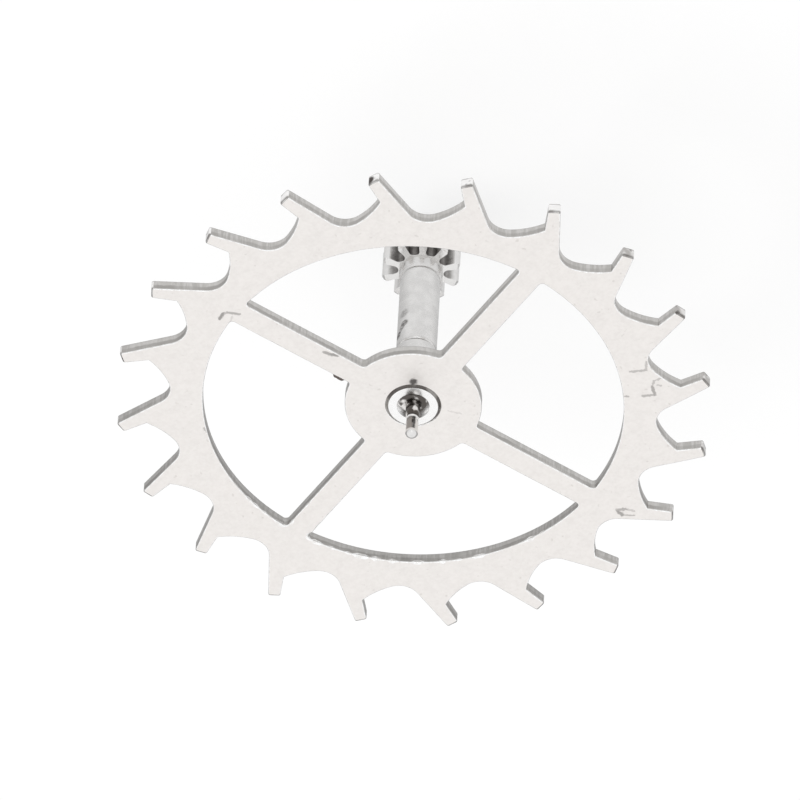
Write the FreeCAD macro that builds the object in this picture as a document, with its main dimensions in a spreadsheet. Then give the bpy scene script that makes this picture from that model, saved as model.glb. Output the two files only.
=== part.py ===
import FreeCAD, Part
import math
import os

import Sketcher

# Escape wheel and escape pinion of a watch, riveted together. Millimetres and degrees.
# The axis is Z. The origin is the shoulder of the lower pivot, and the wheel is at the top.
# X runs along the middle of one of the wheel's spokes.

# Driving sizes: name, value, what it is.
SIZES = [
    ("TeethCount", 20, "teeth of the escape wheel"),
    ("TipRadius", 2.5, "axis to the toe of a tooth, its outermost point"),
    ("ToothPhase", 4.6, "angle from a spoke to the next toe"),
    ("LockAngle", 28.2, "locking face to the radius through its toe"),
    ("ImpulseLength", 0.1, "toe to heel, along the impulse face"),
    ("ImpulseAngle", 28.0, "impulse face to the tangent at the toe"),
    ("BackAngle", 20.7, "back of the tooth's head to the radius through its toe"),
    ("HeadLength", 0.217, "heel to the corner where the slim head meets the tooth's back"),
    ("BackRound", 0.68, "radius of the long curve down the tooth's back"),
    ("RootRound", 0.185, "radius where that curve turns up into the next locking face"),
    ("ToothDepth", 0.463, "toe down to the deepest point between two teeth"),
    ("RimWidth", 0.277, "that point down to the inside of the rim"),
    ("HubRadius", 0.573, "axis to the edge of the wheel's hub"),
    ("SpokeCount", 4, "spokes"),
    ("SpokeWidth", 0.21, "width of a spoke, the same all the way"),
    ("WindowCorner", 0.035, "round in the corners between spokes, rim and hub"),
    ("WheelThickness", 0.107, "thickness of the wheel"),
    ("SpigotRadius", 0.222, "spigot that the wheel is riveted on, and the wheel's hole"),
    ("GrooveHalf", 0.014, "half the width, and the depth, of the groove round the rivet"),
    ("RivetProud", 0.012, "rivet face above the wheel's front"),
    ("RecessRadius", 0.138, "mouth of the oil recess round the upper pivot"),
    ("RecessFloorRadius", 0.112, "outside of the recess's flat floor"),
    ("RecessDepth", 0.05, "rivet face down to the recess's floor"),
    ("NeckRound", 0.03, "flare from the recess's floor into the neck"),
    ("NeckSpread", 0.006, "neck's foot wider than its top"),
    ("UpperShoulderStep", 0.004, "upper pivot's wall out to the neck, at the shoulder"),
    ("UpperShoulderHeight", 0.14, "rivet face up to the upper pivot's shoulder"),
    ("PivotRadius", 0.0525, "both pivots"),
    ("UpperPivotLength", 0.235, "upper pivot, with its rounded end"),
    ("LowerPivotLength", 0.19, "lower pivot, with its rounded end"),
    ("DomeHeight", 0.03, "rounded part of a pivot's end"),
    ("SeatWidth", 0.078, "face of the flange that the wheel's back rests on, outside the spigot"),
    ("SeatThickness", 0.1, "thickness of that flange"),
    ("ConeSpread", 0.07, "cone below the flange, wider at its top than the collar"),
    ("ConeLength", 0.195, "length of that cone"),
    ("CollarStep", 0.0045, "collar below the cone, its surface outside the arbor's"),
    ("CollarLength", 0.25, "length of the collar"),
    ("ArborRadius", 0.17, "plain arbor between collar and pinion"),
    ("ArborLength", 0.919, "length of the plain arbor"),
    ("CoreStep", 0.013, "short core above the leaves, its surface outside the arbor's"),
    ("CoreLength", 0.122, "length of that core"),
    ("LeafCount", 10, "leaves of the pinion"),
    ("LeafPhase", 12.0, "angle from a spoke to the middle of a gap between leaves"),
    ("LeafPitchRadius", 0.29, "where a leaf's straight flank ends and its tip begins"),
    ("LeafAddendum", 0.047, "height of a leaf's tip above that radius"),
    ("LeafShoulder", 0.035, "height above it where the tangents to the ends of the tip's curve meet"),
    ("CutterClearance", 0.007, "core's surface out to the bottoms of the gaps between leaves"),
    ("LeafThickness", 0.07, "thickness of a leaf at its pitch radius"),
    ("LeafLand", 0.016, "narrow face left at the tip of a leaf"),
    ("LeafLength", 0.337, "length of the leaves"),
    ("LeafChamfer", 0.025, "bevel on the ends of the leaves"),
    ("TaperLength", 0.175, "taper from the lower pivot's shoulder up to the leaves"),
    ("TaperSpread", 0.05, "taper's end at the leaves wider than at the shoulder"),
    ("LowerShoulderStep", 0.0475, "lower pivot's wall out to the taper, at the shoulder"),
]

# Worked out from the driving sizes: radii, heights above the lower shoulder, the outlines' corners.
LAYOUT = [
    ("FloorRadius", "=Sizes.TipRadius - Sizes.ToothDepth"),
    ("RimInnerRadius", "=FloorRadius - Sizes.RimWidth"),
    ("SeatRadius", "=Sizes.SpigotRadius + Sizes.SeatWidth"),
    ("NeckTopRadius", "=Sizes.PivotRadius + Sizes.UpperShoulderStep"),
    ("NeckFootRadius", "=NeckTopRadius + Sizes.NeckSpread"),
    ("LowerShoulderRadius", "=Sizes.PivotRadius + Sizes.LowerShoulderStep"),
    ("CollarRadius", "=Sizes.ArborRadius + Sizes.CollarStep"),
    ("CoreRadius", "=Sizes.ArborRadius + Sizes.CoreStep"),
    ("LeafRootRadius", "=CoreRadius + Sizes.CutterClearance"),
    ("LeafOuterRadius", "=Sizes.LeafPitchRadius + Sizes.LeafAddendum"),
    ("LeafTop", "=Sizes.TaperLength + Sizes.LeafLength"),
    ("CoreTop", "=LeafTop + Sizes.CoreLength"),
    ("CollarFoot", "=CoreTop + Sizes.ArborLength"),
    ("CollarTop", "=CollarFoot + Sizes.CollarLength"),
    ("SeatFoot", "=CollarTop + Sizes.ConeLength"),
    ("WheelBack", "=SeatFoot + Sizes.SeatThickness"),
    ("WheelFront", "=WheelBack + Sizes.WheelThickness"),
    ("RivetTop", "=WheelFront + Sizes.RivetProud"),
    ("RecessFloor", "=RivetTop - Sizes.RecessDepth"),
    ("UpperShoulder", "=RivetTop + Sizes.UpperShoulderHeight"),
    ("UpperTip", "=UpperShoulder + Sizes.UpperPivotLength"),
    ("LowerTip", "=0 - Sizes.LowerPivotLength"),
    ("Overrun", "=Sizes.TipRadius / 8"),
    ("BlankRadius", "=Sizes.TipRadius * 1.01"),
    ("HeelX", "=Sizes.TipRadius - Sizes.ImpulseLength * sin(Sizes.ImpulseAngle)"),
    ("HeelY", "=Sizes.ImpulseLength * cos(Sizes.ImpulseAngle)"),
    ("CornerX", "=HeelX - Sizes.HeadLength * cos(Sizes.BackAngle)"),
    ("CornerY", "=HeelY - Sizes.HeadLength * sin(Sizes.BackAngle)"),
    ("PastToeX", "=Sizes.TipRadius + Overrun * sin(Sizes.ImpulseAngle)"),
    ("PastToeY", "=0 - Overrun * cos(Sizes.ImpulseAngle)"),
    ("ToothPitch", "=360 / Sizes.TeethCount"),
    ("FlankAngle", "=ToothPitch + Sizes.LockAngle"),
    ("NextToeX", "=Sizes.TipRadius * cos(ToothPitch)"),
    ("NextToeY", "=Sizes.TipRadius * sin(ToothPitch)"),
    ("PastNextX", "=NextToeX + Overrun * cos(FlankAngle)"),
    ("PastNextY", "=NextToeY + Overrun * sin(FlankAngle)"),
    ("LeafHalfAngle", "=asin(Sizes.LeafThickness / 2 / Sizes.LeafPitchRadius) / 1deg"),
    ("SlotHalfAngle", "=180 / Sizes.LeafCount - LeafHalfAngle"),
    ("LandHalfAngle", "=asin(Sizes.LeafLand / 2 / LeafOuterRadius) / 1deg"),
    ("LandAngle", "=180 / Sizes.LeafCount - LandHalfAngle"),
    ("SlotRound", "=LeafRootRadius * sin(SlotHalfAngle) / (1 - sin(SlotHalfAngle))"),
    ("PitchX", "=Sizes.LeafPitchRadius * cos(SlotHalfAngle)"),
    ("PitchY", "=Sizes.LeafPitchRadius * sin(SlotHalfAngle)"),
    ("TurnX", "=(Sizes.LeafPitchRadius + Sizes.LeafShoulder) * cos(SlotHalfAngle)"),
    ("TurnY", "=(Sizes.LeafPitchRadius + Sizes.LeafShoulder) * sin(SlotHalfAngle)"),
    ("LandX", "=LeafOuterRadius * cos(LandAngle)"),
    ("LandY", "=LeafOuterRadius * sin(LandAngle)"),
    ("ClearX", "=LandX * 1.3"),
    ("ClearY", "=LandY * 1.3"),
]

START, END, CENTRE = 1, 2, 3
ORIGIN = (-1, 1)
SKETCH_X, SKETCH_Y = -1, -2

doc = FreeCAD.newDocument("escape_wheel")


def fill_sheet(name, rows):
    """A sheet with one named cell on each row; returns it."""
    sheet = doc.addObject("Spreadsheet::Sheet", name)
    for number, row in enumerate(rows, start=1):
        sheet.set("A%d" % number, row[0])
        sheet.set("B%d" % number, str(row[1]))
        sheet.setAlias("B%d" % number, row[0])
        if len(row) == 3:
            sheet.set("C%d" % number, row[2])
    doc.recompute()
    return sheet


sizes = fill_sheet("Sizes", SIZES)
layout = fill_sheet("Layout", LAYOUT)


def value(expression):
    """The number that a name, or a sum and difference of names, comes to."""
    words = expression.split()
    total = 0.0
    for sign, name in zip(["+"] + words[1::2], words[::2]):
        if name == "0":
            continue
        sheet_name, cell = name.split(".")
        sheet = sizes if sheet_name == "Sizes" else layout
        number = float(sheet.get(cell))
        total += number if sign == "+" else -number
    return total


def new_body(label):
    body = doc.addObject("PartDesign::Body", label)
    body.Label = label
    return body


def origin_feature(body, role):
    """One of the body's own planes or axes."""
    return next(feature for feature in body.Origin.OriginFeatures if feature.Role == role)


def new_sketch(body, name, plane):
    """An empty sketch on one of the body's own origin planes."""
    sketch = body.newObject("Sketcher::SketchObject", name)
    sketch.AttachmentSupport = [(origin_feature(body, plane), "")]
    sketch.MapMode = "FlatFace"
    return sketch


def turn_sketch(sketch, angle, height):
    """Turns a sketch about Z and lifts it, both by named sizes."""
    turn = FreeCAD.Rotation(FreeCAD.Vector(0, 0, 1), value(angle))
    sketch.AttachmentOffset = FreeCAD.Placement(FreeCAD.Vector(0, 0, value(height)), turn)
    sketch.setExpression("AttachmentOffset.Rotation.Angle", "(%s) * 1deg" % angle)
    sketch.setExpression("AttachmentOffset.Base.z", "(%s) * 1mm" % height)


def bind(sketch, name, expression, *constraint):
    """Adds a constraint with a name and ties its value to an expression."""
    number = sketch.addConstraint(Sketcher.Constraint(*constraint))
    sketch.renameConstraint(number, name)
    sketch.setExpression("Constraints." + name, expression)


def pin(sketch, name, geometry, end, x_name, y_name):
    """Holds one end of a line or arc at a named place, or on the sketch's own axes where it is 0."""
    if x_name == "0":
        sketch.addConstraint(Sketcher.Constraint("PointOnObject", geometry, end, SKETCH_Y))
    else:
        bind(sketch, name + "_x", x_name, "DistanceX", *ORIGIN, geometry, end, value(x_name))
    if y_name == "0":
        sketch.addConstraint(Sketcher.Constraint("PointOnObject", geometry, end, SKETCH_X))
    else:
        bind(sketch, name + "_y", y_name, "DistanceY", *ORIGIN, geometry, end, value(y_name))


def point(x, y):
    return FreeCAD.Vector(x, y, 0)


def add_line(sketch, first, second):
    return sketch.addGeometry(Part.LineSegment(first, second), False)


def add_arc(sketch, centre, first, last):
    """A counter-clockwise arc about a centre, from the first point's side to the last point's."""
    radius = (first - centre).Length
    circle = Part.Circle(centre, FreeCAD.Vector(0, 0, 1), radius)
    begin = math.atan2(first.y - centre.y, first.x - centre.x)
    stop = math.atan2(last.y - centre.y, last.x - centre.x)
    if stop < begin:
        stop += 2 * math.pi
    return sketch.addGeometry(Part.ArcOfCircle(circle, begin, stop), False)


def add_curve(sketch, first, turn, last):
    """A smooth curve that leaves its first end towards the turn and reaches its last end from there.

    Returns the curve and the centre mark of its turn.
    """
    curve = Part.BSplineCurve()
    curve.buildFromPolesMultsKnots([first, turn, last], [3, 3], [0.0, 1.0], False, 2)
    drawn = sketch.addGeometry(curve, False)
    sketch.exposeInternalGeometry(drawn)
    return drawn, drawn + 2


def join(sketch, first, first_end, second, second_end):
    sketch.addConstraint(Sketcher.Constraint("Coincident", first, first_end, second, second_end))


def blend(sketch, first, first_end, second, second_end):
    """Joins two ends so that one runs smoothly into the other."""
    sketch.addConstraint(Sketcher.Constraint("Tangent", first, first_end, second, second_end))


def cut_through(body, sketch, name):
    """Cuts a sketch right through the body, both ways from the sketch's plane."""
    pocket = body.newObject("PartDesign::Pocket", name)
    pocket.Profile = sketch
    pocket.Type = "ThroughAll"
    pocket.SideType = "Symmetric"
    doc.recompute()
    return pocket


def repeat_round(body, feature, name, count_name):
    """Repeats a feature evenly round the axis."""
    pattern = body.newObject("PartDesign::PolarPattern", name)
    pattern.Originals = [feature]
    pattern.Axis = (origin_feature(body, "Z_Axis"), [""])
    pattern.Angle = 360
    pattern.setExpression("Occurrences", count_name)
    body.Tip = pattern
    doc.recompute()
    return pattern


def draw_disc(body, name, radius):
    """A circle about the axis."""
    sketch = new_sketch(body, name, "XY_Plane")
    circle = Part.Circle(point(0, 0), FreeCAD.Vector(0, 0, 1), value(radius))
    outline = sketch.addGeometry(circle, False)
    join(sketch, outline, CENTRE, *ORIGIN)
    bind(sketch, "round", radius, "Radius", outline, value(radius))
    doc.recompute()
    return sketch


def circle_edges(feature, radius, height):
    """Names of a feature's edges that are circles of one radius at one height."""
    names = []
    for number, edge in enumerate(feature.Shape.Edges, start=1):
        curve = edge.Curve
        if curve.TypeId != "Part::GeomCircle":
            continue
        if math.isclose(curve.Radius, value(radius)) and math.isclose(curve.Center.z, value(height)):
            names.append("Edge%d" % number)
    return names


def tooth_gap_centres():
    """Centres of the two arcs between a tooth's back and the next locking face."""
    tip = value("Sizes.TipRadius")
    small = value("Sizes.RootRound")
    large = value("Sizes.BackRound")
    lock = math.radians(value("Sizes.LockAngle"))
    slope = math.radians(value("Layout.FlankAngle"))
    along = point(math.cos(slope), math.sin(slope))
    across = point(math.sin(slope), -math.cos(slope))
    next_toe = point(value("Layout.NextToeX"), value("Layout.NextToeY"))
    corner = point(value("Layout.CornerX"), value("Layout.CornerY"))
    reach = tip * math.cos(lock)
    start_squared = tip**2 + small**2 + 2 * tip * small * math.sin(lock)
    floor = value("Layout.FloorRadius") + small
    run = reach - math.sqrt(reach**2 - start_squared + floor**2)
    root_centre = next_toe - along * run + across * small
    gap = corner - root_centre
    middle = ((large - small) ** 2 - large**2 + gap.Length**2) / (2 * gap.Length)
    aside = math.sqrt((large - small) ** 2 - middle**2)
    side = point(-gap.y, gap.x) / gap.Length
    back_centre = root_centre + gap * (middle / gap.Length) + side * aside
    flank_foot = next_toe - along * run
    return root_centre, back_centre, flank_foot


def draw_tooth_gap(body):
    """Outline of the space between two teeth, open past the tips."""
    sketch = new_sketch(body, "tooth_gap_outline", "XY_Plane")
    turn_sketch(sketch, "Sizes.ToothPhase", "0")
    root_centre, back_centre, flank_foot = tooth_gap_centres()
    small = value("Sizes.RootRound")
    past_toe = point(value("Layout.PastToeX"), value("Layout.PastToeY"))
    heel = point(value("Layout.HeelX"), value("Layout.HeelY"))
    corner = point(value("Layout.CornerX"), value("Layout.CornerY"))
    past_next = point(value("Layout.PastNextX"), value("Layout.PastNextY"))
    meeting = root_centre + (root_centre - back_centre).normalize() * small

    impulse = add_line(sketch, past_toe, heel)
    head = add_line(sketch, heel, corner)
    back = add_arc(sketch, back_centre, meeting, corner)
    root = add_arc(sketch, root_centre, flank_foot, meeting)
    flank = add_line(sketch, flank_foot, past_next)
    outside = add_line(sketch, past_next, past_toe)

    join(sketch, impulse, END, head, START)
    join(sketch, head, END, back, END)
    blend(sketch, back, START, root, END)
    blend(sketch, root, START, flank, START)
    join(sketch, flank, END, outside, START)
    join(sketch, outside, END, impulse, START)
    pin(sketch, "past_toe", impulse, START, "Layout.PastToeX", "Layout.PastToeY")
    pin(sketch, "heel", head, START, "Layout.HeelX", "Layout.HeelY")
    pin(sketch, "corner", head, END, "Layout.CornerX", "Layout.CornerY")
    pin(sketch, "past_next", flank, END, "Layout.PastNextX", "Layout.PastNextY")
    slope = math.radians(value("Layout.FlankAngle"))
    bind(sketch, "flank_angle", "Layout.FlankAngle * 1deg", "Angle", flank, slope)
    bind(sketch, "back_round", "Sizes.BackRound", "Radius", back, value("Sizes.BackRound"))
    bind(sketch, "root_round", "Sizes.RootRound", "Radius", root, small)
    floor = value("Layout.FloorRadius") + small
    floor_expression = "Layout.FloorRadius + Sizes.RootRound"
    bind(sketch, "floor", floor_expression, "Distance", *ORIGIN, root, CENTRE, floor)
    doc.recompute()
    return sketch


def draw_window(body):
    """Outline of the window between two spokes, with small rounds in its corners."""
    sketch = new_sketch(body, "window_outline", "XY_Plane")
    rim = value("Layout.RimInnerRadius")
    hub = value("Sizes.HubRadius")
    small = value("Sizes.WindowCorner")
    half = value("Sizes.SpokeWidth") / 2
    quarter = 360 / value("Sizes.SpokeCount")
    turned = FreeCAD.Rotation(FreeCAD.Vector(0, 0, 1), quarter)
    mirror = FreeCAD.Rotation(FreeCAD.Vector(0, 0, 1), quarter / 2)

    def across(place):
        """The same place on the window's other side."""
        local = mirror.inverted().multVec(place)
        return mirror.multVec(point(local.x, -local.y))

    rim_centre = point(math.sqrt((rim - small) ** 2 - (half + small) ** 2), half + small)
    hub_centre = point(math.sqrt((hub + small) ** 2 - (half + small) ** 2), half + small)
    rim_line_end = point(rim_centre.x, half)
    hub_line_end = point(hub_centre.x, half)
    rim_touch = rim_centre * (rim / rim_centre.Length)
    hub_touch = hub_centre * (hub / hub_centre.Length)

    lower = add_line(sketch, hub_line_end, rim_line_end)
    rim_low = add_arc(sketch, rim_centre, rim_line_end, rim_touch)
    rim_arc = add_arc(sketch, point(0, 0), rim_touch, across(rim_touch))
    rim_high = add_arc(sketch, across(rim_centre), across(rim_touch), across(rim_line_end))
    upper = add_line(sketch, across(rim_line_end), across(hub_line_end))
    hub_high = add_arc(sketch, across(hub_centre), across(hub_line_end), across(hub_touch))
    hub_arc = add_arc(sketch, point(0, 0), hub_touch, across(hub_touch))
    hub_low = add_arc(sketch, hub_centre, hub_touch, hub_line_end)

    blend(sketch, lower, END, rim_low, START)
    blend(sketch, rim_low, END, rim_arc, START)
    blend(sketch, rim_arc, END, rim_high, START)
    blend(sketch, rim_high, END, upper, START)
    blend(sketch, upper, END, hub_high, START)
    blend(sketch, hub_high, END, hub_arc, END)
    blend(sketch, hub_arc, START, hub_low, START)
    blend(sketch, hub_low, END, lower, START)
    sketch.addConstraint(Sketcher.Constraint("Coincident", rim_arc, CENTRE, *ORIGIN))
    sketch.addConstraint(Sketcher.Constraint("Coincident", hub_arc, CENTRE, *ORIGIN))
    bind(sketch, "rim", "Layout.RimInnerRadius", "Radius", rim_arc, rim)
    bind(sketch, "hub", "Sizes.HubRadius", "Radius", hub_arc, hub)
    for number, corner in enumerate((rim_low, rim_high, hub_high, hub_low)):
        bind(sketch, "corner_%d" % number, "Sizes.WindowCorner", "Radius", corner, small)
    sketch.addConstraint(Sketcher.Constraint("Horizontal", lower))
    bind(sketch, "lower_half", "Sizes.SpokeWidth / 2", "DistanceY", *ORIGIN, lower, START, half)
    turn = math.radians(quarter - 180)
    bind(sketch, "turn", "360deg / Sizes.SpokeCount - 180deg", "Angle", upper, turn)
    bind(sketch, "upper_half", "Sizes.SpokeWidth / 2", "Distance", *ORIGIN, upper, half)
    doc.recompute()
    return sketch


def make_wheel():
    """The toothed wheel: a disc with its tooth gaps, windows and hole cut out."""
    body = new_body("escape_wheel")
    blank = body.newObject("PartDesign::Pad", "blank")
    blank.Profile = draw_disc(body, "blank_outline", "Layout.BlankRadius")
    blank.setExpression("Length", "Sizes.WheelThickness")
    doc.recompute()

    gap = cut_through(body, draw_tooth_gap(body), "tooth_gap")
    repeat_round(body, gap, "teeth", "Sizes.TeethCount")
    window = cut_through(body, draw_window(body), "window")
    repeat_round(body, window, "spokes", "Sizes.SpokeCount")

    hole = cut_through(body, draw_disc(body, "hole_outline", "Sizes.SpigotRadius"), "hole")
    mouth = body.newObject("PartDesign::Chamfer", "hole_mouth")
    mouth.Base = (hole, circle_edges(hole, "Sizes.SpigotRadius", "Sizes.WheelThickness"))
    mouth.setExpression("Size", "Sizes.GrooveHalf")
    body.Placement = FreeCAD.Placement(FreeCAD.Vector(0, 0, value("Layout.WheelBack")), FreeCAD.Rotation())
    body.setExpression("Placement.Base.z", "Layout.WheelBack * 1mm")
    doc.recompute()
    return body


def arbor_stations():
    """Corners of the turned arbor, from the lower tip up.

    Each has a name, its radius, its height, and what leads to it from the one before.
    """
    return [
        ("lower_tip", "0", "Layout.LowerTip", None),
        ("lower_dome", "Sizes.PivotRadius", "Layout.LowerTip + Sizes.DomeHeight", "lower dome"),
        ("lower_shoulder", "Sizes.PivotRadius", "0", "line"),
        ("taper_foot", "Layout.LowerShoulderRadius", "0", "line"),
        ("taper_top", "Layout.LowerShoulderRadius + Sizes.TaperSpread", "Sizes.TaperLength", "line"),
        ("leaf_foot", "Layout.LeafOuterRadius - Sizes.LeafChamfer", "Sizes.TaperLength", "line"),
        ("leaf_low", "Layout.LeafOuterRadius", "Sizes.TaperLength + Sizes.LeafChamfer", "line"),
        ("leaf_high", "Layout.LeafOuterRadius", "Layout.LeafTop - Sizes.LeafChamfer", "line"),
        ("leaf_head", "Layout.LeafOuterRadius - Sizes.LeafChamfer", "Layout.LeafTop", "line"),
        ("core_foot", "Layout.CoreRadius", "Layout.LeafTop", "line"),
        ("core_top", "Layout.CoreRadius", "Layout.CoreTop", "line"),
        ("arbor_foot", "Sizes.ArborRadius", "Layout.CoreTop", "line"),
        ("arbor_top", "Sizes.ArborRadius", "Layout.CollarFoot", "line"),
        ("collar_foot", "Layout.CollarRadius", "Layout.CollarFoot", "line"),
        ("collar_top", "Layout.CollarRadius", "Layout.CollarTop", "line"),
        ("cone_top", "Layout.CollarRadius + Sizes.ConeSpread", "Layout.SeatFoot", "line"),
        ("seat_foot", "Layout.SeatRadius", "Layout.SeatFoot", "line"),
        ("seat_face", "Layout.SeatRadius", "Layout.WheelBack", "line"),
        ("spigot_foot", "Sizes.SpigotRadius", "Layout.WheelBack", "line"),
        ("rivet_edge", "Sizes.SpigotRadius", "Layout.WheelFront - Sizes.GrooveHalf", "line"),
        ("rivet_face", "Sizes.SpigotRadius - Sizes.GrooveHalf", "Layout.RivetTop", "line"),
        ("recess_mouth", "Sizes.RecessRadius", "Layout.RivetTop", "line"),
        ("recess_floor", "Sizes.RecessFloorRadius", "Layout.RecessFloor", "line"),
        ("flare_foot", "Layout.NeckFootRadius + Sizes.NeckRound", "Layout.RecessFloor", "line"),
        ("flare_top", "Layout.NeckFootRadius", "Layout.RecessFloor + Sizes.NeckRound", "flare"),
        ("neck_top", "Layout.NeckTopRadius", "Layout.UpperShoulder", "line"),
        ("upper_shoulder", "Sizes.PivotRadius", "Layout.UpperShoulder", "line"),
        ("upper_dome", "Sizes.PivotRadius", "Layout.UpperTip - Sizes.DomeHeight", "line"),
        ("upper_tip", "0", "Layout.UpperTip", "upper dome"),
    ]


def draw_arbor(body):
    """Half outline of the whole arbor, from one pivot's end to the other's."""
    sketch = new_sketch(body, "arbor_outline", "XZ_Plane")
    stations = arbor_stations()
    places = [point(value(radius), value(height)) for _, radius, height, _ in stations]
    radius, height = value("Sizes.PivotRadius"), value("Sizes.DomeHeight")
    dome_radius = (radius**2 + height**2) / (2 * height)
    dome_centres = {
        "lower dome": point(0, value("Layout.LowerTip") + dome_radius),
        "upper dome": point(0, value("Layout.UpperTip") - dome_radius),
    }
    pieces = []
    for before, here, station in zip(places, places[1:], stations[1:]):
        reached = station[3]
        if reached == "line":
            pieces.append((add_line(sketch, before, here), START, END))
        elif reached == "flare":
            flare = add_arc(sketch, point(before.x, here.y), here, before)
            flare_round = value("Sizes.NeckRound")
            bind(sketch, "flare_round", "Sizes.NeckRound", "Radius", flare, flare_round)
            pieces.append((flare, END, START))
        else:
            dome = add_arc(sketch, dome_centres[reached], before, here)
            sketch.addConstraint(Sketcher.Constraint("PointOnObject", dome, CENTRE, SKETCH_Y))
            pieces.append((dome, START, END))
    pieces.append((add_line(sketch, places[-1], places[0]), START, END))
    for piece, following in zip(pieces, pieces[1:] + pieces[:1]):
        join(sketch, piece[0], piece[2], following[0], following[1])
    for station, piece in zip(stations, pieces):
        name, radius, height, _ = station
        pin(sketch, name, piece[0], piece[1], radius, height)
    doc.recompute()
    return sketch


def draw_leaf_gap(body):
    """Outline of the gap between two leaves: round root, radial flanks, curved tips."""
    sketch = new_sketch(body, "leaf_gap_outline", "XY_Plane")
    turn_sketch(sketch, "Sizes.LeafPhase", "Layout.LeafTop")
    half = math.radians(value("Layout.SlotHalfAngle"))
    root_round = value("Layout.SlotRound")
    root_centre = point(value("Layout.LeafRootRadius") + root_round, 0)
    along = point(math.cos(half), math.sin(half))
    foot = along * (root_centre.x * math.cos(half))
    pitch = point(value("Layout.PitchX"), value("Layout.PitchY"))
    land = point(value("Layout.LandX"), value("Layout.LandY"))
    clear = point(value("Layout.ClearX"), value("Layout.ClearY"))
    turn = point(value("Layout.TurnX"), value("Layout.TurnY"))

    def below(place):
        return point(place.x, -place.y)

    root = add_arc(sketch, root_centre, foot, below(foot))
    flank = add_line(sketch, foot, pitch)
    tip, tip_turn = add_curve(sketch, pitch, turn, land)
    exit_line = add_line(sketch, land, clear)
    low_flank = add_line(sketch, below(foot), below(pitch))
    low_tip, low_turn = add_curve(sketch, below(pitch), below(turn), below(land))
    low_exit = add_line(sketch, below(land), below(clear))
    outside = add_line(sketch, clear, below(clear))

    blend(sketch, root, START, flank, START)
    join(sketch, flank, END, tip, START)
    join(sketch, tip, END, exit_line, START)
    join(sketch, exit_line, END, outside, START)
    blend(sketch, root, END, low_flank, START)
    join(sketch, low_flank, END, low_tip, START)
    join(sketch, low_tip, END, low_exit, START)
    join(sketch, low_exit, END, outside, END)
    pin(sketch, "pitch", flank, END, "Layout.PitchX", "Layout.PitchY")
    pin(sketch, "turn", tip_turn, CENTRE, "Layout.TurnX", "Layout.TurnY")
    pin(sketch, "land", exit_line, START, "Layout.LandX", "Layout.LandY")
    pin(sketch, "clear", exit_line, END, "Layout.ClearX", "Layout.ClearY")
    pin(sketch, "low_pitch", low_flank, END, "Layout.PitchX", "0 - Layout.PitchY")
    pin(sketch, "low_turn", low_turn, CENTRE, "Layout.TurnX", "0 - Layout.TurnY")
    pin(sketch, "low_land", low_exit, START, "Layout.LandX", "0 - Layout.LandY")
    pin(sketch, "low_clear", low_exit, END, "Layout.ClearX", "0 - Layout.ClearY")
    sketch.addConstraint(Sketcher.Constraint("PointOnObject", *ORIGIN, flank))
    sketch.addConstraint(Sketcher.Constraint("PointOnObject", *ORIGIN, low_flank))
    bind(sketch, "root_round", "Layout.SlotRound", "Radius", root, root_round)
    doc.recompute()
    return sketch


def make_pinion():
    """The arbor, turned in one piece, with the leaves cut into its thick part."""
    body = new_body("escape_pinion")
    turned = body.newObject("PartDesign::Revolution", "turned_arbor")
    turned.Profile = draw_arbor(body)
    turned.ReferenceAxis = (turned.Profile[0], ["V_Axis"])
    turned.Angle = 360
    doc.recompute()
    gap = body.newObject("PartDesign::Pocket", "leaf_gap")
    gap.Profile = draw_leaf_gap(body)
    gap.setExpression("Length", "Sizes.LeafLength")
    doc.recompute()
    repeat_round(body, gap, "leaves", "Sizes.LeafCount")
    body.Placement = FreeCAD.Placement()
    doc.recompute()
    return body


def check_document(bodies):
    """Stops before anything is written if an object failed or a solid isn't sound."""
    for item in doc.Objects:
        if "Invalid" in item.State or "Error" in item.State:
            raise RuntimeError("%s did not build: %s" % (item.Name, item.State))
    for body in bodies:
        shape = body.Shape
        if shape.isNull() or not shape.isValid() or len(shape.Solids) != 1:
            raise RuntimeError("%s is not one sound solid" % body.Label)


parts = [make_wheel(), make_pinion()]
check_document(parts)
os.makedirs("parts", exist_ok=True)
for part in parts:
    part.Shape.exportStep("parts/%s.step" % part.Label)
    box = part.Shape.BoundBox
    print(part.Label, "volume %.4f mm3" % part.Shape.Volume, "height %.3f to %.3f mm" % (box.ZMin, box.ZMax))
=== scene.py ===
from math import asin, atan2, ceil, cos, pi, radians, sin, sqrt, tan

import bmesh
import bpy
from mathutils import Matrix, Vector, noise


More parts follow.
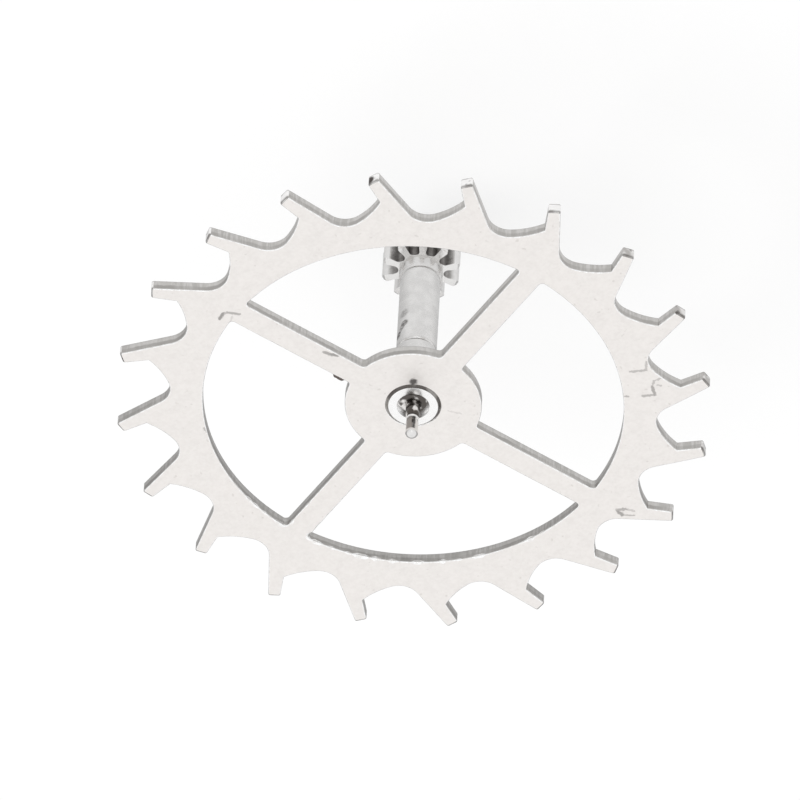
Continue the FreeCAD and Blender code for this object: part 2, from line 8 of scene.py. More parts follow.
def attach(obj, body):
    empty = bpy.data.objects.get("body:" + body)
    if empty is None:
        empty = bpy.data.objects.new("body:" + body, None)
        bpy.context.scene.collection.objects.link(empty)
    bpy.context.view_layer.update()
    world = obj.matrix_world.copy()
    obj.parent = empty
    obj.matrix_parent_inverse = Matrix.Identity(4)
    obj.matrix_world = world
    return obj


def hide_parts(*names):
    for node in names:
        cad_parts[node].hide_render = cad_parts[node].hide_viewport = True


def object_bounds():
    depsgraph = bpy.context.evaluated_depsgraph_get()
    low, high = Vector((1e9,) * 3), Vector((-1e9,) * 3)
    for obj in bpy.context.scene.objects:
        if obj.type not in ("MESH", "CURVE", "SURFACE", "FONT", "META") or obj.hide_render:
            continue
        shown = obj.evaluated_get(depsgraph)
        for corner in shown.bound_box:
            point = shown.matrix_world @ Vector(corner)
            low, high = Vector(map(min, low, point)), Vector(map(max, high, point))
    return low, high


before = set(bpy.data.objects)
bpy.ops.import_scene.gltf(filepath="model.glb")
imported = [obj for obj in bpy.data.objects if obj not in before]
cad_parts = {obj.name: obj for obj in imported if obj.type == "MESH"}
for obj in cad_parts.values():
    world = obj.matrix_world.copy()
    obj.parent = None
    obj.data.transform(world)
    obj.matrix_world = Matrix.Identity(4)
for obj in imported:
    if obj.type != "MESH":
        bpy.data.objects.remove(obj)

# Escape wheel and pinion of a watch, as they look on a white sheet under soft light.
# Lengths are written in real millimetres and turned to metres where a mesh is made.

MM = 0.001
cad_low, cad_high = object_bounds()

# The wheel: a punched and lapped steel plate with club teeth.
TEETH = 20
TIP_RADIUS = 2.5
TOOTH_PHASE = radians(4.6)
LOCK_ANGLE = radians(28.2)
IMPULSE_LENGTH = 0.1
IMPULSE_ANGLE = radians(28.0)
BACK_ANGLE = radians(20.7)
HEAD_LENGTH = 0.217
BACK_ROUND = 0.68
ROOT_ROUND = 0.185
FLOOR_RADIUS = 2.037
RIM_INNER_RADIUS = 1.76
HUB_RADIUS = 0.573
SPOKES = 4
SPOKE_WIDTH = 0.21
WINDOW_CORNER = 0.035
WHEEL_THICKNESS = 0.107
HOLE_RADIUS = 0.222
GROOVE = 0.014

# The wheel's edges: small rounds at toe and heel, and how far each edge is rounded across the plate.
TIP_ROUND = 0.016
TIP_POLISH = 0.014
TIP_ZONE = 0.12
BURR_LEAST = 0.008
BURR_MOST = 0.03
BURR_WAVE = 0.002
BURR_RAG = 0.004
TORN_RAG = 0.14
TORN_SIDE = radians(31 + 180)
TORN_FROM = 0.9
BACK_EDGE = 0.01
EDGE_STEP = 0.016
EDGE_TURNS = (0, 30, 60, 90)

# The pinion, turned in one piece, with its heights above the lower pivot's shoulder.
PIVOT_RADIUS = 0.0525
UPPER_PIVOT = 0.235
LOWER_PIVOT = 0.19
DOME = 0.03
LOWER_SHOULDER_RADIUS = 0.1
TAPER_RADIUS = 0.15
LEAF_FOOT = 0.175
LEAF_LENGTH = 0.337
CORE_LENGTH = 0.122
ARBOR_LENGTH = 0.919
COLLAR_LENGTH = 0.25
CONE_LENGTH = 0.195
SEAT_THICKNESS = 0.1
CORE_RADIUS = 0.183
ARBOR_RADIUS = 0.17
COLLAR_RADIUS = 0.1745
CONE_RADIUS = 0.2445
SEAT_RADIUS = 0.3
RIVET_PROUD = 0.012
RECESS_RADIUS = 0.138
RECESS_FLOOR_RADIUS = 0.112
RECESS_DEPTH = 0.05
NECK_FOOT_RADIUS = 0.0625
NECK_TOP_RADIUS = 0.0565
NECK_ROUND = 0.03
UPPER_SHOULDER = 0.14
LEAVES = 10
LEAF_PHASE = radians(12.0)
LEAF_OUTER_RADIUS = 0.337
LEAF_PITCH_RADIUS = 0.29
LEAF_TURN_RADIUS = 0.325
LEAF_ROOT_RADIUS = 0.19
LEAF_THICKNESS = 0.07
LEAF_LAND = 0.016
LEAF_CHAMFER = 0.025
TURNED_EDGE = 0.004

LEAF_HEAD = LEAF_FOOT + LEAF_LENGTH
CORE_TOP = LEAF_HEAD + CORE_LENGTH
COLLAR_FOOT = CORE_TOP + ARBOR_LENGTH
COLLAR_TOP = COLLAR_FOOT + COLLAR_LENGTH
SEAT_FOOT = COLLAR_TOP + CONE_LENGTH
WHEEL_BACK = SEAT_FOOT + SEAT_THICKNESS
WHEEL_FRONT = WHEEL_BACK + WHEEL_THICKNESS
RIVET_TOP = WHEEL_FRONT + RIVET_PROUD
RECESS_FLOOR = RIVET_TOP - RECESS_DEPTH
SHOULDER_TOP = RIVET_TOP + UPPER_SHOULDER

# Small turned details: an undercut below the collar, the collar's eased edge, and painted shade up the
# pivot's foot.
UNDERCUT_WIDTH = 0.036
UNDERCUT_DEPTH = 0.013
UNDERCUT_FLAT = 0.7
COLLAR_EDGE_IN = 0.002
COLLAR_EDGE_UP = 0.003
PIVOT_ROOT_SHADE = 0.012

# How finely curves are drawn, from which angle on two faces meet in a crease, and from which angle on a
# turned corner is eased, over how much of the runs beside it.
ARC_STEP = 0.014
ARC_TURN = 0.35
ROUND_STEPS = 180
DOME_STEPS = 10
FLARE_STEPS = 8
CREASE = radians(32)
EASED_FROM = radians(15)
EASED_SHARE = 0.4

# Places in each piece's list of materials.
FACE, EDGE, POLISHED, BURR, DIRT = range(5)
ARBOR, LEAF, RIVET, HOLLOW, PIVOT, GROOVE_SHADE = range(6)

# The crumb of dried oil in a corner of hub and spoke: middle, half lengths and turn.
CRUMB_PLACE = (-0.112, 0.666, WHEEL_FRONT - 0.03)
CRUMB_SIZE = (0.062, 0.03, 0.024)
CRUMB_TURN = radians(-92)

# Old marks on the wheel's front: strokes as two points and a width, and how dark each is.
SCRATCHES = (
    ((-0.142, 1.846), (-0.080, 1.856), 0.020, 0.60),
    ((-0.080, 1.856), (-0.050, 1.835), 0.016, 0.35),
    ((-0.050, 1.835), (-0.006, 1.741), 0.018, 0.45),
    ((-0.061, 1.775), (-0.150, 1.748), 0.012, 0.18),
    ((1.371, -1.260), (1.467, -1.356), 0.016, 0.38),
    ((1.467, -1.356), (1.541, -1.306), 0.016, 0.34),
    ((1.213, -1.498), (1.280, -1.570), 0.018, 0.42),
    ((1.280, -1.570), (1.345, -1.500), 0.020, 0.50),
    ((1.345, -1.500), (1.405, -1.479), 0.014, 0.34),
    ((1.405, -1.479), (1.472, -1.514), 0.014, 0.32),
    ((1.112, -1.365), (1.136, -1.399), 0.012, 0.40),
    ((1.383, -1.524), (1.397, -1.555), 0.012, 0.30),
    ((0.031, -2.040), (0.084, -2.095), 0.020, 0.45),
    ((0.084, -2.095), (0.105, -2.162), 0.014, 0.28),
    ((0.020, -2.060), (0.012, -2.105), 0.026, 0.55),
    ((0.012, -2.105), (0.062, -2.191), 0.014, 0.40),
    ((0.056, 0.933), (0.071, 0.873), 0.024, 0.50),
    ((0.071, 0.873), (0.100, 0.815), 0.022, 0.58),
    ((-1.233, 1.281), (-1.256, 1.236), 0.014, 0.35),
    ((0.121, -0.270), (0.162, -0.384), 0.010, 0.16),
)

# A stain beside the rivet, a painted dark reflection on one tooth end, and the side whose tooth ends take
# painted shade.
STAIN = ((0.222, 0.146, WHEEL_FRONT), 0.044)
TOOTH_DARK_REFLECTION = ((1.821, 1.652, 2.155), 0.052)
PAINTED_SHADE_SIDE = (0.556, -0.83, 0)

# Specks of oil on the arbor: middle, radius and how dark. Painted reflections up the pivot, a grey band and a
# dark
# stripe: the side that each is on in degrees, how narrow it is, its colour and how dark.
SPECKS = (
    ((-0.030, 0.168, 1.410), 0.050, 0.95),
    ((0.004, 0.170, 1.372), 0.034, 0.50),
    ((0.046, 0.164, 1.310), 0.048, 0.75),
    ((0.022, 0.169, 1.345), 0.042, 0.50),
    ((0.036, 0.166, 1.180), 0.060, 0.40),
)
PIVOT_PAINTED_REFLECTIONS = ((62, 0.84, "#86817D", 0.85), (17, 0.985, "#1E1B1A", 0.95))

# The view that the photograph was taken from.
CAMERA_TARGET = Vector((-0.013, 0.124, WHEEL_FRONT)) * MM
CAMERA_AZIMUTH = radians(31.31)
CAMERA_ELEVATION = radians(48.45)
CAMERA_DISTANCE = 181.36 * MM
CAMERA_ROLL = radians(176.62)
CAMERA_LENS = 977.0
CAMERA_SENSOR = 36.0
CAMERA_CLIP = (0.02, 1.0)

# The white sheet under the part, the side to which its mirror image is brightest, and the lens card.
FLOOR_HALF = 0.15
FLOOR_DROP = 0.004 * MM
FLOOR_WHITE = 0.68
BRIGHT_SIDE = CAMERA_AZIMUTH - 0.25
WHITE = (1, 1, 1, 1)
CARD_RADIUS = 13 * MM
CARD_DISTANCE = 200 * MM


# Outlines

def polar(radius, angle):
    return Vector((radius * cos(angle), radius * sin(angle)))


def arc(centre, radius, first, last):
    """Points along an arc from one angle to another, ends included, spaced for a smooth edge."""
    turn = abs(last - first)
    steps = max(2, ceil(turn * radius / ARC_STEP), ceil(turn / ARC_TURN))
    return [centre + polar(radius, first + (last - first) * i / steps) for i in range(steps + 1)]


def arc_between(centre, first, last, turning):
    """An arc about a centre from one point to another, turning = 1 for counter-clockwise."""
    begin = atan2(first.y - centre.y, first.x - centre.x)
    stop = atan2(last.y - centre.y, last.x - centre.x)
    while turning * (stop - begin) < 0:
        stop += turning * 2 * pi
    return arc(centre, (first - centre).length, begin, stop)


def turned(points, angle):
    turn = Matrix.Rotation(angle, 2)
    return [turn @ p for p in points]


def eased(before, here, after, radius):
    """A corner between two straight runs, turned into a small round."""
    back, ahead = (before - here).normalized(), (after - here).normalized()
    half = back.angle(ahead) / 2
    centre = here + (back + ahead).normalized() * (radius / sin(half))
    first = here + back * (radius / tan(half))
    last = here + ahead * (radius / tan(half))
    turning = 1 if back.x * ahead.y - back.y * ahead.x < 0 else -1
    return arc_between(centre, first, last, turning)


def tooth():
    """From the round of one toe, over the heel and down the tooth's back, to just before the next toe.

    Comes with how many of its points are on the polished end of the tooth.
    """
    toe = polar(TIP_RADIUS, 0)
    heel = toe + IMPULSE_LENGTH * Vector((-sin(IMPULSE_ANGLE), cos(IMPULSE_ANGLE)))
    corner = heel - polar(HEAD_LENGTH, BACK_ANGLE)
    pitch = 2 * pi / TEETH
    along = polar(1, pitch + LOCK_ANGLE)
    across = Vector((along.y, -along.x))
    reach = TIP_RADIUS * cos(LOCK_ANGLE)
    floor = FLOOR_RADIUS + ROOT_ROUND
    start = TIP_RADIUS ** 2 + ROOT_ROUND ** 2 + 2 * TIP_RADIUS * ROOT_ROUND * sin(LOCK_ANGLE)
    run = reach - sqrt(reach ** 2 - start + floor ** 2)
    flank_foot = polar(TIP_RADIUS, pitch) - along * run
    root = flank_foot + across * ROOT_ROUND
    gap = corner - root
    inner = BACK_ROUND - ROOT_ROUND
    middle = (inner ** 2 - BACK_ROUND ** 2 + gap.length ** 2) / (2 * gap.length)
    aside = sqrt(inner ** 2 - middle ** 2)
    side = Vector((-gap.y, gap.x)) / gap.length
    back = root + gap * (middle / gap.length) + side * aside
    meeting = root + (root - back).normalized() * ROOT_ROUND
    own_foot = Matrix.Rotation(-pitch, 2) @ flank_foot
    tip = eased(own_foot, toe, heel, TIP_ROUND) + eased(toe, heel, corner, TIP_ROUND)
    gap_side = arc_between(back, corner, meeting, -1) + arc_between(root, meeting, flank_foot, -1)[1:]
    return tip + gap_side, len(tip) - 1


def wheel_edge():
    """The wheel's whole outline, counter-clockwise, and the finish of the wall after each point."""
    one, polished = tooth()
    kinds = [POLISHED] * polished + [EDGE] * (len(one) - polished)
    points = []
    for k in range(TEETH):
        points += turned(one, TOOTH_PHASE + 2 * pi * k / TEETH)
    return points, kinds * TEETH


def spaced(points, kinds, step):
    """Adds points on long straight runs, so that an edge there can be uneven."""
    fine, fine_kinds = [], []
    for i, p in enumerate(points):
        run = points[(i + 1) % len(points)] - p
        parts = max(1, round(run.length / step))
        fine += [p + run * (k / parts) for k in range(parts)]
        fine_kinds += [kinds[i]] * parts
    return fine, fine_kinds


def window(number):
    """Outline of the window after one spoke, clockwise, with rounds in its corners."""
    half = SPOKE_WIDTH / 2
    quarter = 2 * pi / SPOKES
    small = WINDOW_CORNER
    rim = Vector((sqrt((RIM_INNER_RADIUS - small) ** 2 - (half + small) ** 2), half + small))
    hub = Vector((sqrt((HUB_RADIUS + small) ** 2 - (half + small) ** 2), half + small))
    rim_angle = atan2(rim.y, rim.x)
    hub_angle = atan2(hub.y, hub.x)
    centre = Vector((0, 0))
    first_half = arc(rim, small, -pi / 2, rim_angle)
    first_half += arc(centre, RIM_INNER_RADIUS, rim_angle, quarter / 2)[1:]
    hub_half = arc(centre, HUB_RADIUS, quarter / 2, hub_angle)[1:]
    hub_half += arc(hub, small, hub_angle - pi, -pi / 2)[1:]
    flip = Matrix.Rotation(quarter, 2) @ Matrix(((1, 0), (0, -1)))
    other_rim = [flip @ p for p in reversed(first_half)][1:]
    other_hub = [flip @ p for p in reversed(hub_half)]
    points = first_half + other_rim + other_hub + hub_half
    return list(reversed(turned(points, quarter * number)))


def circle(radius, turning):
    """A full round, turning = 1 for counter-clockwise."""
    return [polar(radius, turning * 2 * pi * i / ROUND_STEPS) for i in range(ROUND_STEPS)]


def leaf_gap():
    """From the middle of one leaf's land, through the gap, to the middle of the next leaf's."""
    pitch = 2 * pi / LEAVES
    half = pitch / 2 - asin(LEAF_THICKNESS / 2 / LEAF_PITCH_RADIUS)
    land = pitch / 2 - asin(LEAF_LAND / 2 / LEAF_OUTER_RADIUS)
    root_round = LEAF_ROOT_RADIUS * sin(half) / (1 - sin(half))
    root = Vector((LEAF_ROOT_RADIUS + root_round, 0))
    foot = root.x * cos(half)
    lower = polar(LEAF_PITCH_RADIUS, half)
    turn = polar(LEAF_TURN_RADIUS, half)
    upper = polar(LEAF_OUTER_RADIUS, land)
    shares = [i / 10 for i in range(11)]
    flank = [polar(foot + (LEAF_PITCH_RADIUS - foot) * i / 6, half) for i in range(1, 6)]
    tip = [lower * (1 - t) ** 2 + turn * 2 * t * (1 - t) + upper * t ** 2 for t in shares]
    top = [polar(LEAF_OUTER_RADIUS, land + (pitch / 2 - land) * i / 3) for i in range(1, 4)]
    bottom = arc(root, root_round, pi, pi - (pi / 2 - half))
    upper_side = bottom + flank + tip + top
    lower_side = [Vector((p.x, -p.y)) for p in reversed(upper_side)]
    return lower_side + upper_side[1:-1]


def leaves(blank_radius):
    """Outline of all the leaves, cut down to the radius of the turned blank."""
    points = []
    for k in range(LEAVES):
        points += turned(leaf_gap(), LEAF_PHASE + 2 * pi * k / LEAVES)
    return [p * min(1, blank_radius / p.length) for p in points]


# Meshes

def offset(points, distances):
    """Points moved to their left, each by its own distance, corners mitred."""
    moved = []
    count = len(points)
    for i, p in enumerate(points):
        before = (p - points[i - 1]).normalized()
        after = (points[(i + 1) % count] - p).normalized()
        normal = Vector((-before.y - after.y, before.x + after.x))
        length = normal.length
        moved.append(p + normal / length * (distances[i] * 2 / length))
    return moved


def ring(bm, points, height):
    """Points at one height, or each at its own, in millimetres."""
    heights = height if isinstance(height, list) else [height] * len(points)
    return [bm.verts.new((p.x, p.y, z)) for p, z in zip(points, heights)]


def bridge(bm, low, high, material=0):
    """Faces between two rings of as many points; returns them."""
    count = len(low)
    made = []
    for i in range(count):
        j = (i + 1) % count
        face = bm.faces.new((low[i], low[j], high[j], high[i]))
        face.material_index = material
        made.append(face)
    return made


def ring_edges(bm, verts):
    count = len(verts)
    return [bm.edges.get((verts[i], verts[(i + 1) % count])) for i in range(count)]


def fill(bm, rings, upward, material=0):
    """A flat face, with holes, between rings at one height."""
    edges = [e for verts in rings for e in ring_edges(bm, verts)]
    made = bmesh.ops.triangle_fill(bm, use_beauty=True, edges=edges)["geom"]
    for face in made:
        if isinstance(face, bmesh.types.BMFace):
            face.material_index = material
            face.normal_update()
            if (face.normal.z > 0) != upward:
                face.normal_flip()
    for edge in edges:
        edge.smooth = False


def new_object(name, data):
    thing = bpy.data.objects.new(name, data)
    bpy.context.scene.collection.objects.link(thing)
    return thing


def mesh_object(bm, name, materials):
    """An object with the mesh that was drawn, and its materials."""
    mesh = bpy.data.meshes.new(name)
    bm.to_mesh(mesh)
    bm.free()
    for material in materials:
        mesh.materials.append(material)
    return new_object(name, mesh)


def finish_mesh(bm, name, materials):
    """Makes the object, smooth except across creases, and turns it to metres."""
    bm.normal_update()
    for face in bm.faces:
        face.smooth = True
    for edge in bm.edges:
        if len(edge.link_faces) == 2 and edge.calc_face_angle(0) > CREASE:
            edge.smooth = False
    piece = mesh_object(bm, name, materials)
    piece.data.transform(Matrix.Scale(MM, 4))
    return piece


def burr_width(point, kind):
    """How wide the rounded front edge is at a point: even on a polished tooth end, ragged where punched."""
    if kind == POLISHED:
        return TIP_POLISH
    near_tip = point.length > TIP_RADIUS - TIP_ZONE
    place = Vector((point.x * 3, point.y * 3, 0.3))
    wave = noise.noise(place)
    rag = max(0.0, noise.noise(place * 7.3) - 0.05)
    inside = point.length < RIM_INNER_RADIUS + 0.01
    torn = max(0.0, point.dot(polar(1, TORN_SIDE)) - TORN_FROM) if inside else 0.0
    most = TIP_POLISH if near_tip else BURR_MOST
    return min(most, BURR_LEAST + BURR_WAVE * wave + (BURR_RAG + TORN_RAG * torn) * rag)


def smoothed(values, reach):
    """Each value averaged with its neighbours on both sides."""
    count = len(values)
    near = range(-reach, reach + 1)
    return [sum(values[(i + k) % count] for k in near) / len(near) for i in range(count)]


def wall(bm, outline, kinds):
    """The edge all round an outline, rounded to both faces; returns its lowest and highest ring."""
    points, kinds = spaced(outline, kinds, EDGE_STEP)
    widths = smoothed([burr_width(p, kind) for p, kind in zip(points, kinds)], 1)
    turns = [radians(a) for a in EDGE_TURNS]
    rings = []
    for a in turns:
        inset = [BACK_EDGE * (1 - sin(a))] * len(points)
        rings.append(ring(bm, offset(points, inset), WHEEL_BACK + BACK_EDGE * (1 - cos(a))))
    for a in reversed(turns):
        inset = [w * (1 - sin(a)) for w in widths]
        rings.append(ring(bm, offset(points, inset), [WHEEL_FRONT - w * (1 - cos(a)) for w in widths]))
    front_edge = len(turns)
    for level, (low, high) in enumerate(zip(rings, rings[1:])):
        for face, kind in zip(bridge(bm, low, high), kinds):
            face.material_index = BURR if level >= front_edge and kind == EDGE else kind
    return rings[0], rings[-1]


def add_crumb(bm):
    """A crumb of dried oil: a small ball pulled out of shape, stuck in a corner of the plate."""
    turn = Matrix.Rotation(CRUMB_TURN, 4, "Z")
    shape = Matrix.Translation(CRUMB_PLACE) @ turn @ Matrix.Diagonal((*CRUMB_SIZE, 1))
    made = bmesh.ops.create_icosphere(bm, subdivisions=3, radius=1.0)["verts"]
    for vert in made:
        vert.co *= 1 + 0.3 * noise.noise(vert.co * 1.9)
        vert.co = shape @ vert.co
    for face in {face for vert in made for face in vert.link_faces}:
        face.material_index = DIRT


def make_wheel(materials):
    bm = bmesh.new()
    backs, fronts = [], []
    outlines = [wheel_edge()]
    for number in range(SPOKES):
        points = window(number)
        outlines.append((points, [EDGE] * len(points)))
    for points, kinds in outlines:
        low, high = wall(bm, points, kinds)
        backs.append(low)
        fronts.append(high)
    # The hole, with the groove round the rivet eased at its top.
    hole = [
        ring(bm, circle(HOLE_RADIUS, -1), WHEEL_BACK),
        ring(bm, circle(HOLE_RADIUS, -1), WHEEL_FRONT - GROOVE),
        ring(bm, circle(HOLE_RADIUS + GROOVE * 0.8, -1), WHEEL_FRONT - GROOVE * 0.15),
        ring(bm, circle(HOLE_RADIUS + GROOVE, -1), WHEEL_FRONT),
    ]
    for low, high in zip(hole, hole[1:]):
        bridge(bm, low, high, BURR)
    backs.append(hole[0])
    fronts.append(hole[-1])
    fill(bm, backs, False, FACE)
    fill(bm, fronts, True, FACE)
    bmesh.ops.recalc_face_normals(bm, faces=bm.faces)
    add_crumb(bm)
    return finish_mesh(bm, "lapped_wheel", materials)


def rounded(corners, radius):
    """A turned profile of (radius, height) corners with each corner eased by a small arc."""
    points = [corners[0]]
    for before, here, after in zip(corners, corners[1:], corners[2:]):
        to_before, to_after = (before - here), (after - here)
        turn = pi - to_before.angle(to_after)
        if turn < EASED_FROM or here.x == 0:
            points.append(here)
            continue
        cut = min(radius * tan(turn / 2), to_before.length * EASED_SHARE, to_after.length * EASED_SHARE)
        first = here + to_before.normalized() * cut
        last = here + to_after.normalized() * cut
        points += [first, first * 0.25 + here * 0.5 + last * 0.25, last]
    points.append(corners[-1])
    return points


def dome(height, way):
    """Profile of a pivot's rounded end, from its tip to its wall."""
    ball = (PIVOT_RADIUS ** 2 + DOME ** 2) / (2 * DOME)
    rise = asin(PIVOT_RADIUS / ball)
    angles = [rise * i / DOME_STEPS for i in range(DOME_STEPS + 1)]
    return [Vector((ball * sin(a), height + way * ball * (1 - cos(a)))) for a in angles]


def lathe(bm, profile, material, start=None):
    """Turned faces along a profile, from a ring already made if given; returns the first and last ring."""
    rings = [start] if start else []
    for p in profile[len(rings):]:
        if p.x < 1e-9:
            rings.append([bm.verts.new((0, 0, p.y))])
        else:
            rings.append(ring(bm, circle(p.x, 1), p.y))
    for low, high in zip(rings, rings[1:]):
        if len(low) == 1 or len(high) == 1:
            tip, other = (low[0], high) if len(low) == 1 else (high[0], low)
            for i in range(len(other)):
                face = bm.faces.new((tip, other[i], other[(i + 1) % len(other)]))
                face.material_index = material
        else:
            bridge(bm, low, high, material)
    return rings[0], rings[-1]


def corner_list(*pairs):
    return [Vector(p) for p in pairs]


def make_pinion(materials):
    bm = bmesh.new()
    lower = corner_list(
        (PIVOT_RADIUS, DOME - LOWER_PIVOT),
        (PIVOT_RADIUS, 0),
        (LOWER_SHOULDER_RADIUS, 0),
        (TAPER_RADIUS, LEAF_FOOT),
    )
    _, taper_top = lathe(bm, dome(-LOWER_PIVOT, 1)[:-1] + rounded(lower, TURNED_EDGE), PIVOT)

    # The leaves, their ends rounded off in two slopes.
    chamfer = LEAF_OUTER_RADIUS - LEAF_CHAMFER
    levels = [
        (chamfer, LEAF_FOOT),
        (LEAF_OUTER_RADIUS - 0.3 * LEAF_CHAMFER, LEAF_FOOT + 0.5 * LEAF_CHAMFER),
        (LEAF_OUTER_RADIUS, LEAF_FOOT + LEAF_CHAMFER),
        (LEAF_OUTER_RADIUS, LEAF_HEAD - LEAF_CHAMFER),
        (LEAF_OUTER_RADIUS - 0.3 * LEAF_CHAMFER, LEAF_HEAD - 0.5 * LEAF_CHAMFER),
        (chamfer, LEAF_HEAD),
    ]
    rings = [ring(bm, leaves(radius), height) for radius, height in levels]
    for low, high in zip(rings, rings[1:]):
        bridge(bm, low, high, LEAF)

    arbor = corner_list(
        (CORE_RADIUS, LEAF_HEAD),
        (CORE_RADIUS, CORE_TOP),
        (ARBOR_RADIUS, CORE_TOP),
        (ARBOR_RADIUS, COLLAR_FOOT - UNDERCUT_WIDTH),
        (ARBOR_RADIUS - UNDERCUT_DEPTH, COLLAR_FOOT - UNDERCUT_WIDTH * UNDERCUT_FLAT),
    )
    undercut = corner_list(
        (ARBOR_RADIUS - UNDERCUT_DEPTH, COLLAR_FOOT - UNDERCUT_WIDTH * UNDERCUT_FLAT),
        (ARBOR_RADIUS - UNDERCUT_DEPTH, COLLAR_FOOT),
        (COLLAR_RADIUS - COLLAR_EDGE_IN, COLLAR_FOOT),
    )
    collar = corner_list(
        (COLLAR_RADIUS - COLLAR_EDGE_IN, COLLAR_FOOT),
        (COLLAR_RADIUS, COLLAR_FOOT + COLLAR_EDGE_UP),
        (COLLAR_RADIUS, COLLAR_TOP),
        (CONE_RADIUS, SEAT_FOOT),
        (SEAT_RADIUS, SEAT_FOOT),
        (SEAT_RADIUS, WHEEL_BACK),
        (HOLE_RADIUS, WHEEL_BACK),
        (HOLE_RADIUS, WHEEL_FRONT - GROOVE),
    )
    rivet_side = corner_list((HOLE_RADIUS, WHEEL_FRONT - GROOVE), (HOLE_RADIUS - GROOVE, RIVET_TOP))
    rivet_top = corner_list(
        (HOLE_RADIUS - GROOVE, RIVET_TOP),
        (RECESS_RADIUS, RIVET_TOP),
        (RECESS_FLOOR_RADIUS, RECESS_FLOOR),
    )
    flare_centre = Vector((NECK_FOOT_RADIUS + NECK_ROUND, RECESS_FLOOR + NECK_ROUND))
    flare_angles = [-pi / 2 - pi / 2 * i / FLARE_STEPS for i in range(FLARE_STEPS + 1)]
    flare = [flare_centre + polar(NECK_ROUND, a) for a in flare_angles]
    neck = corner_list(
        flare[-1],
        (NECK_TOP_RADIUS, SHOULDER_TOP),
        (PIVOT_RADIUS, SHOULDER_TOP),
        (PIVOT_RADIUS, SHOULDER_TOP + PIVOT_ROOT_SHADE),
    )
    pivot = corner_list(
        (PIVOT_RADIUS, SHOULDER_TOP + PIVOT_ROOT_SHADE),
        (PIVOT_RADIUS, SHOULDER_TOP + UPPER_PIVOT - DOME),
    )
    tip = list(reversed(dome(SHOULDER_TOP + UPPER_PIVOT, -1)))[1:]
    # All that is turned above the leaves, from the core's foot to the upper pivot's tip.
    runs = [
        (rounded(arbor, TURNED_EDGE), ARBOR),
        # The undercut and the groove round the rivet take painted shade.
        (undercut, GROOVE_SHADE),
        (rounded(collar, TURNED_EDGE), ARBOR),
        (rivet_side, GROOVE_SHADE),
        (rounded(rivet_top, TURNED_EDGE), RIVET),
        ([rivet_top[-1]] + flare, HOLLOW),
        (rounded(neck, TURNED_EDGE / 2), HOLLOW),
        (pivot + tip, PIVOT),
    ]
    last = None
    feet = []
    for profile, material in runs:
        first, last = lathe(bm, profile, material, last)
        feet.append(first)
    fill(bm, [taper_top, rings[0]], False, LEAF)
    fill(bm, [feet[0], rings[-1]], True, LEAF)
    bmesh.ops.recalc_face_normals(bm, faces=bm.faces)
    return finish_mesh(bm, "turned_pinion", materials)


# Materials

def linear(hex_colour):
    """An sRGB hex colour as the linear colour that a shader takes."""
    parts = []
    for i in (1, 3, 5):
        c = int(hex_colour[i:i + 2], 16) / 255
        parts.append(c / 12.92 if c <= 0.04045 else ((c + 0.055) / 1.055) ** 2.4)
    return (*parts, 1.0)


def add(tree, kind, settings=None, **links):
    """Adds a node with its own settings, and joins its inputs: each to a value or to another node's socket.

    An input goes by its name, or by its number after an underscore.
    """
    node = tree.nodes.new(kind)
    for key, item in (settings or {}).items():
        setattr(node, key, item)
    for key, item in links.items():
        socket = node.inputs[int(key[1:])] if key[0] == "_" else node.inputs[key.replace("_", " ")]
        if isinstance(item, bpy.types.NodeSocket):
            tree.links.new(item, socket)
        else:
            socket.default_value = item
    return node


def vector(tree, kind, first, second=(0, 0, 0)):
    """Arithmetic with vectors: a vector, or a number where the kind gives one."""
    node = add(tree, "ShaderNodeVectorMath", {"operation": kind}, _0=first, _1=second)
    return node.outputs["Value" if kind in ("DOT_PRODUCT", "DISTANCE", "LENGTH") else "Vector"]


def scaled(tree, item, factor):
    return add(tree, "ShaderNodeVectorMath", {"operation": "SCALE"}, _0=item, Scale=factor).outputs["Vector"]


def new_material(name):
    material = bpy.data.materials.new(name)
    material.use_nodes = True
    tree = material.node_tree
    tree.nodes.clear()
    return material, tree


def millimetres(tree):
    """The part's own coordinates, in real millimetres."""
    own = add(tree, "ShaderNodeTexCoord").outputs["Object"]
    return scaled(tree, own, 1 / MM)


def height_of(tree, place):
    return add(tree, "ShaderNodeSeparateXYZ", _0=place).outputs["Z"]


def out_from_axis(tree, place):
    return vector(tree, "MULTIPLY", place, (1, 1, 0))


def grain(tree, place, size, detail=2.0, stretch=(1, 1, 1)):
    """Uneven patches of a size in millimetres, from 0 to 1."""
    drawn = vector(tree, "MULTIPLY", place, stretch)
    return add(tree, "ShaderNodeTexNoise", _0=drawn, Scale=1 / size, Detail=detail).outputs[0]


def ramp(tree, value, low, high, start=0.0, end=1.0):
    """A value turned smoothly from one span to another."""
    smooth = {"interpolation_type": "SMOOTHSTEP"}
    spans = {"From_Min": low, "From_Max": high, "To_Min": start, "To_Max": end}
    return add(tree, "ShaderNodeMapRange", smooth, Value=value, **spans).outputs[0]


def blend(tree, amount, first, second):
    """One colour turned to another by an amount."""
    return add(tree, "ShaderNodeMix", {"data_type": "RGBA"}, _0=amount, _6=first, _7=second).outputs[2]


def both(tree, kind, first, second, clamp=True):
    """Arithmetic with two numbers, held between 0 and 1 unless clamp is off."""
    settings = {"operation": kind, "use_clamp": clamp}
    return add(tree, "ShaderNodeMath", settings, _0=first, _1=second).outputs[0]


def layer(tree, base, colour, amount, share=None):
    """A colour laid over another where the amount is 1, and no thicker than its share."""
    if share is not None:
        amount = both(tree, "MULTIPLY", amount, share)
    return blend(tree, amount, base, linear(colour))


